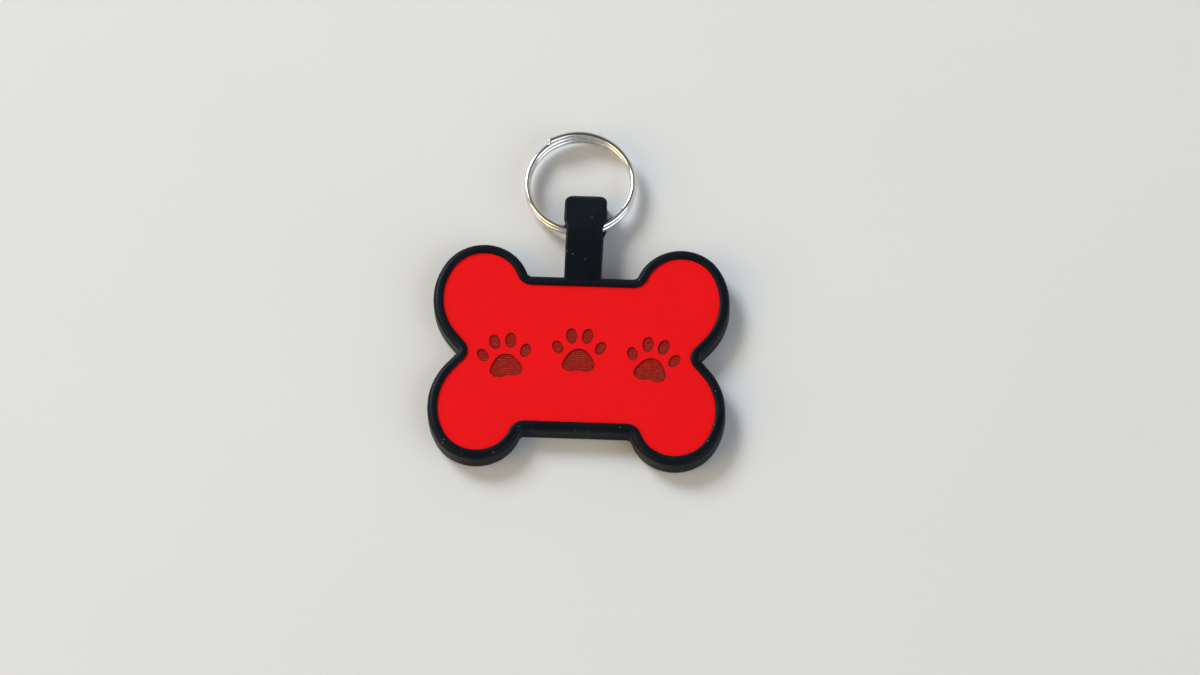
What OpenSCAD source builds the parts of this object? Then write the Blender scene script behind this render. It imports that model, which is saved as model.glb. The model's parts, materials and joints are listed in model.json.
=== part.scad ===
// Pet id tag: a bone of black silicone with a raised bead rim, a red face bonded into it,
// and a split ring that swings in the strap loop moulded to the top edge.
// Millimetres. The tag lies on its back: X along the bone, Y towards the ring, Z out of the face.
// The origin is the centre of the bone's back.

/* [Bone outline, at the edge of the face] */
// Length of the face, end to end
face_l = 49.3; // [46:0.1:60]
// Height of the face across its lobes
face_w = 38.5; // [35:0.1:42]
// Height of the face between its two straight edges
face_mid_w = 26.7; // [23:0.1:30]
// Radius of the outer side of a lobe
lobe_side_r = 10.8; // [9.8:0.1:12.5]
// Height of that radius's centre above the middle of the bone
lobe_side_y = 10.4; // [9.5:0.1:12]
// Radius of the top of a lobe
lobe_top_r = 6.6; // [5.6:0.1:7.6]
// Slope of the straight flank beside the notch at each end, in degrees
flank_a = 49; // [44:1:58]
// Radius of the body's wall in the notch at each end
notch_r = 0.8; // [0.4:0.05:2]
// Radius of the body's wall where a lobe meets the straight edge
neck_r = 1; // [0.4:0.05:2]

/* [Silicone body] */
// Thickness of the body, from its back to the crest of its rim
body_t = 4.2; // [3.6:0.1:6]
// Width of the rim round the face
rim_w = 1.5; // [1.2:0.05:2.4]
// Height of the rim's crest above the face
rim_rise = 0.45; // [0.3:0.05:0.8]
// Rounding of the rim towards the outside
rim_outer_r = 0.9; // [0.4:0.05:1]
// Rounding of the rim towards the face
rim_inner_r = 0.35; // [0.1:0.05:0.4]
// Rounding of the edge round the back
back_edge_r = 0.6; // [0.2:0.05:1]

/* [Face] */
// Thickness of the face
face_t = 1; // [0.6:0.1:1.6]
// Rounding of the face's upper edge
face_edge_r = 0.25; // [0.1:0.05:0.5]
// Gap round the face inside the rim
face_gap = 0.05; // [0.02:0.01:0.15]

/* [Strap loop] */
// Distance from the centre of the bone to the centre of the loop's round far end
strap_end_y = 28.7; // [27:0.05:34]
// Distance from the centre of the bone to the loop's highest point
strap_crest_y = 23; // [21.5:0.1:25]
// Height of the loop's highest point above the back
strap_t = 5.4; // [5.1:0.1:7]
// Radius of the arched top of the loop
strap_arch_r = 32.4; // [26:0.1:60]
// Thickness of the loop's wall round the slot
strap_wall = 0.9; // [0.7:0.05:1.1]
// Width of the strap where it leaves the body
shank_w = 6.5; // [5:0.1:8]
// Width of the strap's head
head_w = 7.5; // [6.6:0.1:9]
// Distance from the centre of the bone to where the head starts to widen
head_y = 24; // [22:0.1:26]
// Length over which it widens
head_blend_l = 1.6; // [1:0.1:3]
// Radius of the head's two corners
head_corner_r = 2; // [0.6:0.1:2.6]
// Rounding of the strap's long edges
strap_edge_r = 0.4; // [0.1:0.05:0.6]
// Distance from the body to the near end of the slot
slot_root_l = 3.4; // [2.5:0.1:5]

/* [Split ring] */
// Outside diameter of the ring
ring_d = 20; // [18:0.1:26]
// Diameter of its wire
wire_d = 1.1; // [0.9:0.05:1.15]
// Space left between two turns of wire
coil_gap = 0.44; // [0.42:0.01:0.5]
// Distance from the centre of the bone to the hinge line, where the ring bears on the loop
hinge_y = 24.55; // [23:0.05:26]
// Turn of the ring to the left, about the vertical, in degrees
ring_yaw = 7.9; // [-10:0.1:10]
// Where the wire starts, in degrees round the ring from its right
wire_start_a = 52; // [40:1:70]
// Where the wire ends, on its third time past the top
wire_end_a = 840; // [820:1:850]
// Where the turns begin to climb by one wire
climb_start_a = 8; // [0:1:15]
// Where they stop climbing
climb_end_a = 120; // [110:1:150]
// How far each cut end springs outwards
end_spring = 0.2; // [0:0.05:0.4]
// Length of wire that does so
end_spring_l = 3; // [2:0.1:5]
// Length of the bevel on each cut end
end_bevel_l = 0.3; // [0.1:0.05:0.5]

/* [Hidden] */

// How finely the curves are divided
notch_steps = 4;
side_steps = 9;
top_steps = 12;
neck_steps = 5;
round_steps = 5;
small_round_steps = 3;
strap_steps = 16;
strap_end_steps = 7;
slot_end_steps = 10;
ring_steps = 44;
wire_sides = 10;

// Share of the wire's radius left at the tip of a bevelled end
wire_tip_share = 0.55;
// Share of the strap's end arc at which its last flat section is taken
strap_last_share = 0.9;
// How far the root of the strap reaches into the rim, as a share of the rim's width
strap_bite_share = 0.65;
// Air left under the ring's lowest point when the tag lies on its back
rest_gap = 0.05;
// Overrun of every cut past the faces that it opens
cut_over = 1;

// Heights
face_top_z = body_t - rim_rise;
tray_z = face_top_z - face_t;

// Centres of the arcs in the quarter outline, from the notch round to the straight edge
side_c = [face_l / 2 - lobe_side_r, lobe_side_y];
top_c_y = face_w / 2 - lobe_top_r;
top_c = [side_c.x + sqrt(pow(lobe_side_r - lobe_top_r, 2) - pow(top_c_y - side_c.y, 2)), top_c_y];
notch_face_r = notch_r + rim_w;
notch_c = [side_c.x + (lobe_side_r + notch_face_r - side_c.y * cos(flank_a)) / sin(flank_a), 0];
neck_face_r = neck_r + rim_w;
neck_c_y = face_mid_w / 2 + neck_face_r;
neck_c = [top_c.x - sqrt(pow(lobe_top_r + neck_face_r, 2) - pow(neck_c_y - top_c.y, 2)), neck_c_y];
side_end_a = atan2(top_c.y - side_c.y, top_c.x - side_c.x);
top_end_a = atan2(neck_c.y - top_c.y, neck_c.x - top_c.x);

// Strap and slot
body_edge_y = face_mid_w / 2 + rim_w;
strap_root_y = body_edge_y - strap_bite_share * rim_w;
arch_c = [strap_crest_y, strap_t - strap_arch_r];
end_c = [strap_end_y, nest_r(strap_end_y, 0)];
end_r = nest_r(strap_end_y, 0);
strap_far_y = end_c.x + end_r;
end_touch_a = atan2(end_c.y - arch_c.y, end_c.x - arch_c.x);
end_touch_y = end_c.x + end_r * cos(end_touch_a);
slot_near_y = body_edge_y + slot_root_l;
slot_near_r = nest_from(slot_near_y, strap_wall);
slot_c = [slot_near_y + slot_near_r, strap_wall + slot_near_r];
slot_touch_a = atan2(slot_c.y - arch_c.y, slot_c.x - arch_c.x);

// Ring
wire_r = wire_d / 2;
ring_r = ring_d / 2 - wire_r;
coil_pitch = wire_d + coil_gap;
hinge_z = strap_t / 2;
slot_sag = ring_r - sqrt(pow(ring_r, 2) - pow(shank_w / 2, 2));
ring_reach = ring_r - slot_sag / 2;
bearing_a = 270;
mm_to_a = 180 / (PI * ring_r);
wire_angles = concat(
    [wire_start_a, wire_start_a + end_bevel_l * mm_to_a],
    [for (i = [1 : ceil((wire_end_a - wire_start_a) * ring_steps / 360) - 1])
        wire_start_a + i * (wire_end_a - wire_start_a) / ceil((wire_end_a - wire_start_a) * ring_steps / 360)],
    [wire_end_a - end_bevel_l * mm_to_a, wire_end_a]
);
wire_line = [for (a = wire_angles) wire_point(a)];
ring_lean = min([for (p = wire_line) if (p.y > 0) lean_to_floor([p.y + ring_reach, p.z])]);

echo(ring_least_gap = least_gap(wire_line), ring_lean = ring_lean, ring_inside_d = ring_d - 2 * wire_d);
echo(hinge = [0, hinge_y, hinge_z], hinge_axis = [cos(ring_yaw), sin(ring_yaw), 0]);
echo(ring_centre = ring_centre(), strap_far_y = strap_far_y, slot_height = strap_t - 2 * strap_wall);

// Points along an arc, the first left out where the arc before it ends there
function arc(c, r, from, to, steps, first = 0) =
    [for (i = [first : steps]) let (a = from + (to - from) * i / steps) [c.x + r * cos(a), c.y + r * sin(a)]];

function reversed(list) = [for (i = [len(list) - 1 : -1 : 0]) list[i]];
function scaled(points, sx, sy) = [for (p = points) [p.x * sx, p.y * sy]];
function tail(list) = [for (i = [1 : len(list) - 1]) list[i]];

// A quarter of the bone, from the notch on the right to the middle of the straight top edge,
// moved outwards by grow
function quarter_bone(grow) = concat(
    arc(notch_c, notch_face_r - grow, 180, 90 + flank_a, notch_steps),
    arc(side_c, lobe_side_r + grow, flank_a - 90, side_end_a, side_steps),
    arc(top_c, lobe_top_r + grow, side_end_a, top_end_a, top_steps, 1),
    arc(neck_c, neck_face_r - grow, top_end_a + 180, 270, neck_steps, 1),
    [[0, face_mid_w / 2 + grow]]
);

// The whole outline, anticlockwise; quarters share their end points
function bone(grow) = let (q = quarter_bone(grow)) concat(
    q,
    tail(reversed(scaled(q, -1, 1))),
    tail(scaled(q, -1, -1)),
    tail(reversed(tail(scaled(q, 1, -1))))
);

// The lobes' centres, then the middle of the bone, at a height
function bone_hubs(z) = [
    for (c = concat(scaled([side_c], 1, 1), scaled([side_c], -1, 1), scaled([side_c], -1, -1),
        scaled([side_c], 1, -1), [[0, 0]])) [c.x, c.y, z]
];

// Circle that stands on the height floor_z and touches the arch from below: its radius,
// for a circle centred at y. Under the inner face of the wall it serves the slot.
function nest_r(y, floor_z) =
    let (rise = strap_arch_r - floor_z, over = strap_t - strap_arch_r)
    (pow(rise, 2) - pow(y - strap_crest_y, 2) - pow(floor_z - over, 2)) / (2 * (rise + floor_z - over));

// The same, for a circle whose side nearest the bone is at y
function nest_from(y, floor_z) =
    let (
        rise = strap_arch_r - floor_z,
        back = y - strap_crest_y,
        up = floor_z + strap_arch_r - strap_t,
        sum = back + up + rise
    )
    sqrt(pow(sum, 2) + pow(rise, 2) - pow(back, 2) - pow(up, 2)) - sum;

// Underside and top of the strap at y
function strap_low(y) = y < end_c.x ? 0 : end_c.y - sqrt(max(0, pow(end_r, 2) - pow(y - end_c.x, 2)));
function strap_high(y) = y < end_touch_y
    ? arch_c.y + sqrt(pow(strap_arch_r, 2) - pow(y - arch_c.x, 2))
    : end_c.y + sqrt(max(0, pow(end_r, 2) - pow(y - end_c.x, 2)));

// Half the strap's width at y: the shank, the widening to the head, and the head's corner
function blend(t) = let (u = min(1, max(0, t))) u * u * (3 - 2 * u);
function corner_cut(y) = let (over = y - (strap_far_y - head_corner_r))
    over <= 0 ? 0 : head_corner_r - sqrt(max(0, pow(head_corner_r, 2) - pow(over, 2)));
function strap_half(y) =
    (shank_w + (head_w - shank_w) * blend((y - head_y) / head_blend_l)) / 2 - corner_cut(y);

// Section across the strap at y, a rectangle with rounded corners
function strap_section(y) =
    let (
        low = strap_low(y),
        high = strap_high(y),
        half = strap_half(y),
        r = min(strap_edge_r, (high - low) / 2, half),
        n = small_round_steps
    )
    [for (p = concat(
        arc([half - r, high - r], r, 0, 90, n),
        arc([r - half, high - r], r, 90, 180, n),
        arc([r - half, low + r], r, 180, 270, n),
        arc([half - r, low + r], r, 270, 360, n)
    )) [p.x, y, p.y]];

// Height and outward spring of the wire at an angle round the ring; the two turns that bear on
// the strap lie evenly above and below the hinge line
function climb(a) =
    let (turn = floor((a - climb_start_a) / 360), part = a - climb_start_a - 360 * turn)
    coil_pitch * (turn + blend(part / (climb_end_a - climb_start_a)));
function spring_out(a) =
    let (to_end = min(a - wire_start_a, wire_end_a - a) / mm_to_a)
    to_end >= end_spring_l ? 0 : end_spring * pow(1 - to_end / end_spring_l, 2);
function wire_point(a) =
    let (
        r = ring_r + spring_out(a),
        bearing_z = (climb(bearing_a) + climb(bearing_a + 360)) / 2
    )
    [r * cos(a), r * sin(a), climb(a) - bearing_z];

// Lean that brings a point of the wire down to the surface under the tag
function lean_to_floor(p) = asin((hinge_z - wire_r - rest_gap) / norm(p)) - atan2(-p.y, p.x);

// Least distance between the faces of two turns of the wire, measured on its points
function least_gap(line) =
    let (apart = round(ring_steps / 2))
    min([for (i = [0 : len(line) - apart - 1]) for (j = [i + apart : len(line) - 1])
        norm(line[j] - line[i])]) - wire_d;

function ring_centre() = [
    -ring_reach * cos(ring_lean) * sin(ring_yaw),
    hinge_y + ring_reach * cos(ring_lean) * cos(ring_yaw),
    hinge_z - ring_reach * sin(ring_lean)
];

// Triangles between neighbouring sections of n points each
function wall_faces(n, rows) = [
    for (k = [0 : rows - 2]) for (i = [0 : n - 1])
        let (a = k * n + i, b = k * n + (i + 1) % n)
        each [[a, a + n, b + n], [a, b + n, b]]
];

// Triangles over a bone outline of n points: a fan from each lobe's centre, which sees the
// whole of its quarter, and a fan from the middle of the bone to what is left
function bone_faces(n, first, hub) = [
    for (k = [0 : 3])
        let (quarter = n / 4, start = k * quarter, end = (start + quarter) % n)
        each concat(
            [for (i = [start : start + quarter - 1]) [hub + k, first + i, first + (i + 1) % n]],
            [[hub + 4, first + start, hub + k], [hub + 4, hub + k, first + end]]
        )
];

// Skin over a row of convex sections that all have the same number of points
module skin(sections) {
    n = len(sections[0]);
    rows = len(sections);
    low_end = [for (i = [0 : n - 1]) i];
    high_end = [for (i = [n - 1 : -1 : 0]) (rows - 1) * n + i];
    polyhedron(
        points = [for (s = sections) each s],
        faces = concat([low_end], wall_faces(n, rows), [high_end]),
        convexity = 4
    );
}

// Bone outlines stacked into a solid; each level is [outward growth, height]
module bone_skin(levels) {
    n = len(bone(0));
    rows = len(levels);
    hub = rows * n;
    sections = [for (v = levels) each [for (p = bone(v[0])) [p.x, p.y, v[1]]]];
    low_hubs = bone_hubs(levels[0][1]);
    high_hubs = bone_hubs(levels[rows - 1][1]);
    high_end = [for (f = bone_faces(n, (rows - 1) * n, hub + len(low_hubs))) reversed(f)];
    polyhedron(
        points = concat(sections, low_hubs, high_hubs),
        faces = concat(bone_faces(n, 0, hub), wall_faces(n, rows), high_end),
        convexity = 6
    );
}

// Body of the bone: round the back's edge, up the wall, over the bead and down into the tray
module tray() {
    back = arc([rim_w - back_edge_r, back_edge_r], back_edge_r, -90, 0, small_round_steps);
    outer = arc([rim_w - rim_outer_r, body_t - rim_outer_r], rim_outer_r, 0, 90, round_steps);
    inner = arc([face_gap + rim_inner_r, body_t - rim_inner_r], rim_inner_r, 90, 180, small_round_steps);
    bone_skin(concat(back, outer, inner, [[face_gap, tray_z]]));
}

// Strap, before its slot is cut
module strap_blank() {
    straight = [for (i = [0 : strap_steps - 1])
        strap_root_y + (end_c.x - strap_root_y) * i / strap_steps];
    round_end = [for (i = [0 : strap_end_steps])
        end_c.x + end_r * sin(90 * strap_last_share * i / strap_end_steps)];
    skin(reversed([for (y = concat(straight, round_end)) strap_section(y)]));
}

// Side view of the slot: the loop's own outline, one wall further in, with a round near end
module slot_profile() {
    polygon(concat(
        arc(end_c, end_r - strap_wall, -90, end_touch_a, slot_end_steps),
        arc(arch_c, strap_arch_r - strap_wall, end_touch_a, slot_touch_a, slot_end_steps, 1),
        arc(slot_c, slot_near_r, slot_touch_a, 270, slot_end_steps, 1)
    ));
}

module slot_cut() {
    rotate([90, 0, 90])
        linear_extrude(height = head_w + 2 * cut_over, center = true)
            slot_profile();
}

module silicone_body() {
    color([0.07, 0.075, 0.09])
        union() {
            tray();
            difference() {
                strap_blank();
                slot_cut();
            }
        }
}

module face_inlay() {
    color([0.92, 0.07, 0.09])
        bone_skin(concat(
            [[0, tray_z]],
            arc([-face_edge_r, face_top_z - face_edge_r], face_edge_r, 0, 90, small_round_steps)
        ));
}

// One section of the wire, square to its run and narrowed where the end is bevelled
function wire_section(i) =
    let (
        last = len(wire_line) - 1,
        a = wire_angles[i],
        along = wire_line[min(i + 1, last)] - wire_line[max(i - 1, 0)],
        out = [cos(a), sin(a), 0],
        up = cross(out, along) / norm(cross(out, along)),
        r = wire_r * (i == 0 || i == last ? wire_tip_share : 1)
    )
    [for (k = [0 : wire_sides - 1]) let (b = 360 * k / wire_sides)
        wire_line[i] + r * (cos(b) * out + sin(b) * up)];

module split_ring() {
    color([0.8, 0.8, 0.82])
        translate([0, hinge_y, hinge_z])
            rotate([0, 0, ring_yaw])
                rotate([-ring_lean, 0, 0])
                    translate([0, ring_reach, 0])
                        skin(reversed([for (i = [0 : len(wire_line) - 1]) wire_section(i)]));
}

silicone_body();
face_inlay();
split_ring();
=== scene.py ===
"""Pet id tag: a bone of black silicone, a red face bonded into it, and a split ring in its strap loop.

Everything is in metres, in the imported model's own frame: X along the bone, Y towards the ring and
Z out of the face. The tag lies on its back on a pale floor.
"""

import json
import logging
import math
from dataclasses import dataclass
from enum import Enum
from itertools import pairwise, product

import bmesh
import bpy
from bmesh.types import BMEdge, BMesh, BMFace, BMLayerItem, BMVert
from bpy.types import Material, Node, NodeSocket, Object, World
from mathutils import Matrix, Vector


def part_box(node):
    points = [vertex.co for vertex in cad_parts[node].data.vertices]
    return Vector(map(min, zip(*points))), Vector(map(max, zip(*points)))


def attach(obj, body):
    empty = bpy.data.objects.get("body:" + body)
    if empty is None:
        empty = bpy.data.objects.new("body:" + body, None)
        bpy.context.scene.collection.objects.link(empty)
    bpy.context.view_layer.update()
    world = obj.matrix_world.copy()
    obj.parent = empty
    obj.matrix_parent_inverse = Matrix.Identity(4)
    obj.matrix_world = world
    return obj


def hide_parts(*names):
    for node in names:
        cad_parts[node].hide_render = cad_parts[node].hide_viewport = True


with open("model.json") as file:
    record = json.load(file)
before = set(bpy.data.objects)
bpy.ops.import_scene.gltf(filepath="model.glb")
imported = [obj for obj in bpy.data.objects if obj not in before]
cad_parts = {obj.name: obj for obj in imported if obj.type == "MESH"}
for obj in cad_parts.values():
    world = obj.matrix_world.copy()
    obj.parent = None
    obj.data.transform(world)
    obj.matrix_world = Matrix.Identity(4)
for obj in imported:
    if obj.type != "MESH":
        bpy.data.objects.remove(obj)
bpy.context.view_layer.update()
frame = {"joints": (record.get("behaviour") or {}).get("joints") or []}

Colour = tuple[float, float, float]
Profile = list[tuple[float, float]]

MM = 0.001
X_AXIS = Vector((1, 0, 0))
Z_AXIS = Vector((0, 0, 1))
QUARTER = math.pi / 2
WELD = 0.001 * MM
SHARP = 38.0

RIM_RISE = 0.45 * MM
STRAP_DROP = 0.005 * MM

# At a scale of 1 the wave texture runs through this many radians in each unit.
WAVE_RATE = 20
# Soft noise keeps mostly within this range.
NOISE = (0.3, 0.7)
# The mix node's sockets for colours share their names with others, so they go by number.
COLOURS_IN = (6, 7)
COLOUR_OUT = 2

log = logging.getLogger("pet_tag")


def flat(y: float, z: float, x: float = 0.0) -> Vector:
    """Returns a point of a side view, Y across and Z up, at a distance x from the middle."""
    return Vector((x, y, z))


def on_circle(centre: Vector, radius: float, angle: float) -> Vector:
    """Returns a point on a level circle, at an angle from X towards Y, in radians."""
    return centre + Vector((radius * math.cos(angle), radius * math.sin(angle), 0))


def on_side(centre: Vector, radius: float, angle: float) -> Vector:
    """Returns a point on a circle of a side view, at an angle from Y towards Z, in radians."""
    return centre + Vector((0, radius * math.cos(angle), radius * math.sin(angle)))


def smooth_step(share: float) -> float:
    """Returns a share between 0 and 1, eased at both ends."""
    held = min(1.0, max(0.0, share))
    return held * held * (3 - 2 * held)


class Pen:
    """Draws a wire into a mesh, with extrusions for its straight runs and spins for its arcs."""

    def __init__(self, bm: BMesh, start: Vector, axis: Vector) -> None:
        """Sets the pen down.

        Args:
            bm: the mesh to draw in.
            start: the first point.
            axis: what the arcs turn about.
        """
        self.bm = bm
        self.axis = axis
        self.tip = bm.verts.new(start)

    def line(self, point: Vector) -> "Pen":
        """Draws a straight run.

        Args:
            point: where it ends.

        Returns:
            The pen.
        """
        self.tip = bmesh.ops.extrude_vert_indiv(self.bm, verts=[self.tip])["verts"][0]
        self.tip.co = point
        return self

    def turn(self, centre: Vector, angle: float, steps: int) -> "Pen":
        """Draws an arc.

        Args:
            centre: what the arc turns round.
            angle: how far it turns, in radians, anticlockwise seen against the axis.
            steps: how many straight edges it has.

        Returns:
            The pen.
        """
        drawn = bmesh.ops.spin(
            self.bm, geom=[self.tip], cent=centre, axis=self.axis, angle=angle, steps=steps
        )
        self.tip = next(v for v in drawn["geom_last"] if isinstance(v, BMVert))
        return self


def fill(bm: BMesh) -> BMFace:
    """Welds a closed wire's ends and spans it with one face.

    Args:
        bm: the mesh, in which only the wire's edges have no face yet.

    Returns:
        The face.
    """
    ends = [v for e in bm.edges if not e.link_faces for v in e.verts]
    bmesh.ops.remove_doubles(bm, verts=list(dict.fromkeys(ends)), dist=WELD)
    wire = [e for e in bm.edges if not e.link_faces]
    return bmesh.ops.contextual_create(bm, geom=wire)["faces"][0]


def lift(bm: BMesh, face: BMFace, rise: float, keep: bool = False) -> BMFace:
    """Extrudes a level face straight up or down.

    Args:
        bm: the mesh.
        face: what to extrude.
        rise: how far up it goes, in metres.
        keep: True to leave the first face behind as the solid's other end.

    Returns:
        The face at the new height.
    """
    made = bmesh.ops.extrude_face_region(bm, geom=[face, *face.edges], use_keep_orig=keep)["geom"]
    moved = next(g for g in made if isinstance(g, BMFace))
    bmesh.ops.translate(bm, verts=moved.verts[:], vec=Z_AXIS * rise)
    return moved


def sink(bm: BMesh, face: BMFace, narrower: float, deeper: float) -> None:
    """Insets a face and pushes it along its normal.

    Args:
        bm: the mesh.
        face: what to move.
        narrower: how far its outline moves inwards, or outwards if negative.
        deeper: how far it moves the way it faces.
    """
    bmesh.ops.inset_region(
        bm, faces=[face], thickness=narrower, depth=deeper, use_boundary=True, use_even_offset=True
    )


def follow(bm: BMesh, face: BMFace, profile: Profile) -> None:
    """Carries a level face along a profile, which rounds the edge or sinks a tray all the way round.

    Args:
        bm: the mesh.
        face: the face at the profile's start.
        profile: distance outwards from the face's own outline, and height, at each level.
    """
    for (grow, z), (next_grow, next_z) in pairwise(profile):
        if abs(grow - next_grow) < WELD:
            face = lift(bm, face, next_z - z)
        else:
            sink(bm, face, grow - next_grow, (next_z - z) * math.copysign(1, face.normal.z))


def rounding(
    centre: tuple[float, float], radius: float, start: float, end: float, steps: int
) -> Profile:
    """Finds points along an arc of a profile.

    Args:
        centre: the arc's centre, as distance outwards and height.
        radius: its radius.
        start: the angle of its first point, in degrees.
        end: the angle of its last point, in degrees.
        steps: how many straight edges it has.

    Returns:
        The points, with both ends.
    """
    angles = [math.radians(start + (end - start) * i / steps) for i in range(steps + 1)]
    return [(centre[0] + radius * math.cos(a), centre[1] + radius * math.sin(a)) for a in angles]


def bevel(bm: BMesh, edges: list[BMEdge], radius: float, steps: int, slide: bool = False) -> None:
    """Rounds edges.

    Args:
        bm: the mesh.
        edges: what to round.
        radius: how far the rounding reaches from each edge.
        steps: how many faces it has across.
        slide: True to keep its ends on the edges that they meet.
    """
    bmesh.ops.bevel(
        bm, geom=edges, offset=radius, offset_type="OFFSET", segments=steps, profile=0.5,
        affect="EDGES", material=-1, clamp_overlap=False, loop_slide=slide,
    )


def finished_mesh(bm: BMesh, name: str, sharp: float = SHARP) -> Object:
    """Turns a mesh under construction into an object with smooth faces and crisp sharp edges.

    Args:
        bm: the mesh, which is freed.
        name: the object's name.
        sharp: the angle past which an edge stays crisp, in degrees.

    Returns:
        The object, at the origin.
    """
    bmesh.ops.remove_doubles(bm, verts=bm.verts[:], dist=WELD)
    bmesh.ops.recalc_face_normals(bm, faces=bm.faces[:])
    for face in bm.faces:
        face.smooth = True
    mesh = bpy.data.meshes.new(name)
    bm.to_mesh(mesh)
    bm.free()
    mesh.set_sharp_from_angle(angle=math.radians(sharp))
    piece = bpy.data.objects.new(name, mesh)
    bpy.context.scene.collection.objects.link(piece)
    return piece


class Joining(Enum):
    """How two solids are joined."""

    ADD = "UNION"
    CUT = "DIFFERENCE"


def combine(piece: Object, other: Object, how: Joining) -> None:
    """Adds one solid to another or cuts it out, and removes the second.

    Args:
        piece: the solid that stays.
        other: the solid that is added or cut out; its materials go with its faces.
        how: whether it is added or cut.
    """
    joint = piece.modifiers.new("join", "BOOLEAN")
    joint.operation = how.value
    joint.solver = "EXACT"
    joint.object = other
    joint.material_mode = "TRANSFER"
    seen = piece.evaluated_get(bpy.context.evaluated_depsgraph_get())
    mesh = bpy.data.meshes.new_from_object(seen)
    piece.modifiers.clear()
    old = piece.data
    piece.data = mesh
    mesh.name = piece.name
    bpy.data.meshes.remove(old)
    bpy.data.objects.remove(other)


def even_shading(piece: Object, sharp: float = SHARP) -> None:
    """Keeps flat faces flat in the shading beside their rounded edges.

    Args:
        piece: the piece, once its solids are joined.
        sharp: the angle past which an edge stays crisp, in degrees.
    """
    piece.data.set_sharp_from_angle(angle=math.radians(sharp))
    piece.modifiers.new("even_shading", "WEIGHTED_NORMAL").keep_sharp = True


# Finishes


class Sum(Enum):
    """How two values of a material are put together."""

    TIMES = "MULTIPLY"
    BELOW = "LESS_THAN"
    LARGER = "MAXIMUM"


class Shades:
    """The nodes of a material or a world under construction."""

    def __init__(self, owner: Material | World, read_by: str = "Object") -> None:
        """Starts the nodes.

        Args:
            owner: the new material or world.
            read_by: the coordinates that its patterns are read by.
        """
        owner.use_nodes = True
        self.owner = owner
        self.tree = owner.node_tree
        self.place = self.tree.nodes.new("ShaderNodeTexCoord").outputs[read_by]

    def feed(self, socket: NodeSocket, value: object) -> None:
        """Gives an input what it needs.

        Args:
            socket: the input.
            value: a socket to link to it, or the value to set.
        """
        if isinstance(value, NodeSocket):
            self.tree.links.new(value, socket)
        else:
            socket.default_value = value

    def node(self, kind: str, **settings: object) -> Node:
        """Adds a node.

        Args:
            kind: the node's type, without its ShaderNode prefix.
            settings: sockets or values for its inputs, and its properties, by name, with _ for a space.

        Returns:
            The node.
        """
        made = self.tree.nodes.new("ShaderNode" + kind)
        for key, value in settings.items():
            label = key.replace("_", " ")
            if label in made.inputs:
                self.feed(made.inputs[label], value)
            else:
                setattr(made, key, value)
        return made

    def noise(self, size: float, detail: float = 2.0, place: NodeSocket | None = None) -> NodeSocket:
        """Makes soft noise.

        Args:
            size: about how wide its lumps are.
            detail: how many finer layers it has.
            place: what it is read by, if not the usual coordinates.

        Returns:
            The noise, from 0 to 1.
        """
        read_by = self.place if place is None else place
        return self.node("TexNoise", Vector=read_by, Scale=1 / size, Detail=detail).outputs["Fac"]

    def spread(
        self, value: NodeSocket, low: float, high: float, within: tuple[float, float] = NOISE
    ) -> NodeSocket:
        """Stretches a value from its own range onto another, and holds it there.

        Args:
            value: the value.
            low: what it becomes at its range's start.
            high: what it becomes at its range's end.
            within: its own range.

        Returns:
            The stretched value.
        """
        start, end = within
        return self.node(
            "MapRange", Value=value, From_Min=start, From_Max=end, To_Min=low, To_Max=high
        ).outputs["Result"]

    def mix(self, share: NodeSocket, first: object, second: object) -> NodeSocket:
        """Mixes two colours.

        Args:
            share: how much of the second shows.
            first: a colour, or a socket that gives one.
            second: the same.

        Returns:
            The mixed colour.
        """
        made = self.node("Mix", data_type="RGBA", Factor=share)
        for number, colour in zip(COLOURS_IN, (first, second)):
            self.feed(made.inputs[number], colour if isinstance(colour, NodeSocket) else (*colour, 1))
        return made.outputs[COLOUR_OUT]

    def maths(self, how: Sum, first: NodeSocket, second: object) -> NodeSocket:
        """Does a sum on two values.

        Args:
            how: which sum.
            first: the first value.
            second: the second one, as a socket or a plain number.

        Returns:
            The result.
        """
        made = self.node("Math", operation=how.value)
        self.feed(made.inputs[0], first)
        self.feed(made.inputs[1], second)
        return made.outputs[0]

    def relief(self, height: NodeSocket, depth: float, **more: object) -> NodeSocket:
        """Tilts the surface by a height.

        Args:
            height: the height, from 0 to 1.
            depth: how deep that is, in metres.
            more: the bump node's other inputs, by name.

        Returns:
            The surface's direction.
        """
        return self.node("Bump", Height=height, Distance=depth, **more).outputs["Normal"]

    def specks(self, cell: float, radius: float, kept: float) -> NodeSocket:
        """Scatters small round specks.

        Args:
            cell: the average distance between places for a speck, in metres.
            radius: a speck's radius, in metres.
            kept: the share of places that hold one.

        Returns:
            1 on a speck and 0 elsewhere.
        """
        cells = self.node("TexVoronoi", Vector=self.place, Scale=1 / cell)
        dot = self.maths(Sum.BELOW, cells.outputs["Distance"], radius / cell)
        pick = self.node("SeparateColor", Color=cells.outputs["Color"]).outputs["Red"]
        return self.maths(Sum.TIMES, dot, self.maths(Sum.BELOW, pick, kept))

    def wear(self, **inputs: object) -> Material:
        """Feeds or sets the surface shader's inputs.

        Args:
            inputs: sockets or values, by the input's name, with _ for a space.

        Returns:
            The finished material.
        """
        surface = self.tree.nodes["Principled BSDF"]
        for key, value in inputs.items():
            self.feed(surface.inputs[key.replace("_", " ")], value)
        return self.owner


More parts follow.
